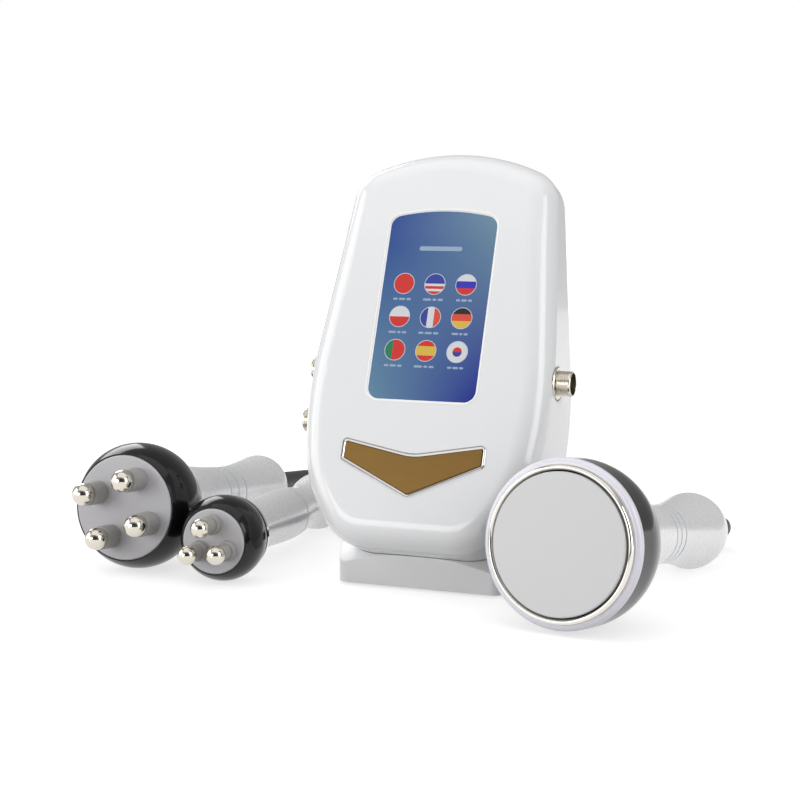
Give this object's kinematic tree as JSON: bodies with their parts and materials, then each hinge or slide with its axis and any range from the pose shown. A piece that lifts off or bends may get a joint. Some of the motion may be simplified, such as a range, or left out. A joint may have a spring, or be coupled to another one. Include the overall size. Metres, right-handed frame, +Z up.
{
  "type": "body care machine with handpieces",
  "caption": "Desktop console leaning on a crowned stand, with an arched touch screen, side sockets and round, post-tipped handpieces on coiled cords.",
  "frame": {"origin": "centre of the stand's underside, on the table", "axes": "+X to the right seen from the front, +Y to the back, +Z up; the console faces -Y"},
  "size_m": [0.3074, 0.3089, 0.2061],
  "materials": {
    "white_shell": "gloss",
    "stand_shell": "satin",
    "plate_plastic": "matt",
    "pad_rubber": "matt",
    "screen_glass": "gloss",
    "display": "gloss",
    "badge_silver": "polished",
    "badge_gold": "satin",
    "nickel": "satin",
    "insert_plastic": "matt",
    "contact_metal": "polished",
    "board": "satin",
    "core": "matt",
    "sink": "satin",
    "black_plastic": "matt",
    "screw_steel": "satin",
    "disc_metal": "matt",
    "bezel_chrome": "polished",
    "ring_white": "gloss",
    "collar_black": "gloss",
    "transducer": "satin",
    "handle_silver": "satin metallic",
    "boot_rubber": "satin",
    "cord_black": "satin",
    "tie_black": "matt",
    "face_white": "gloss",
    "post_grey": "satin",
    "electrode_chrome": "polished"
  },
  "bodies": {
    "console": {"front_cover": "white_shell", "rear_cover": "white_shell", "touch_glass": "screen_glass", "lcd_module": "display", "badge_frame": "badge_silver", "badge_plate": "badge_gold", "stand_base": "stand_shell", "stand_bottom_plate": "plate_plastic", "anti_slip_pad": "pad_rubber", "socket_right_body": "nickel", "socket_left_upper_body": "nickel", "socket_left_lower_body": "nickel", "panel_nuts": "nickel", "socket_inserts": "insert_plastic", "socket_pins": "contact_metal", "main_board": "board", "driver_board": "board", "transformer": "core", "heat_sink": "sink", "buzzer": "black_plastic", "dc_inlet": "black_plastic", "switch_frame": "black_plastic", "fan_frame": "black_plastic", "rear_screws": "screw_steel", "stand_screws": "screw_steel"},
    "power_rocker": {"power_rocker": "black_plastic"},
    "fan_rotor": {"fan_rotor": "black_plastic"},
    "cavitation_handpiece": {"cav_disc": "disc_metal", "cav_chrome_ring": "bezel_chrome", "cav_white_ring": "ring_white", "cav_collar": "collar_black", "cav_transducer": "transducer", "cav_handle": "handle_silver", "cav_boot": "boot_rubber", "cav_cord": "cord_black", "cav_cord_coil": "cord_black", "cav_cord_lead": "cord_black", "cav_tie": "tie_black", "cav_plug": "nickel"},
    "cavitation_plug_ring": {"cav_plug_ring": "nickel"},
    "quadrupolar_handpiece": {"quad_face": "face_white", "quad_posts": "post_grey", "quad_electrodes": "electrode_chrome", "quad_collar": "collar_black", "quad_handle": "handle_silver", "quad_boot": "boot_rubber", "quad_cord": "cord_black", "quad_cord_coil": "cord_black", "quad_cord_lead": "cord_black", "quad_tie": "tie_black", "quad_plug": "nickel"},
    "quadrupolar_plug_ring": {"quad_plug_ring": "nickel"},
    "tripolar_handpiece": {"tri_face": "face_white", "tri_posts": "post_grey", "tri_electrodes": "electrode_chrome", "tri_collar": "collar_black", "tri_back_ring": "bezel_chrome", "tri_handle": "handle_silver", "tri_gland": "boot_rubber"}
  },
  "joints": [
    {"name": "power_rocker_tilt", "type": "hinge", "parent": "console", "child": "power_rocker", "pos_m": [0.024, 0.00613, 0.04197], "axis": [1, 0, 0], "range_deg": [0, 20]},
    {"name": "fan_spin", "type": "hinge", "parent": "console", "child": "fan_rotor", "pos_m": [0, 0.02072, 0.12672], "axis": [0, 0.9869, -0.1616], "continuous": true},
    {"name": "cavitation_handpiece_lift", "type": "slide", "parent": "console", "child": "cavitation_handpiece", "axis": [0, 0, 1], "range_m": [0, 0.12]},
    {"name": "quadrupolar_handpiece_lift", "type": "slide", "parent": "console", "child": "quadrupolar_handpiece", "axis": [0, 0, 1], "range_m": [0, 0.12]},
    {"name": "tripolar_handpiece_lift", "type": "slide", "parent": "console", "child": "tripolar_handpiece", "axis": [0, 0, 1], "range_m": [0, 0.12]},
    {"name": "cavitation_plug_ring_turn", "type": "hinge", "parent": "cavitation_handpiece", "child": "cavitation_plug_ring", "pos_m": [-0.01567, 0.13468, 0.0074], "axis": [-0.9445, 0.3285, 0], "continuous": true},
    {"name": "quadrupolar_plug_ring_turn", "type": "hinge", "parent": "quadrupolar_handpiece", "child": "quadrupolar_plug_ring", "pos_m": [-0.09127, 0.13969, 0.0074], "axis": [-0.3489, 0.9371, 0], "continuous": true}
  ]
}
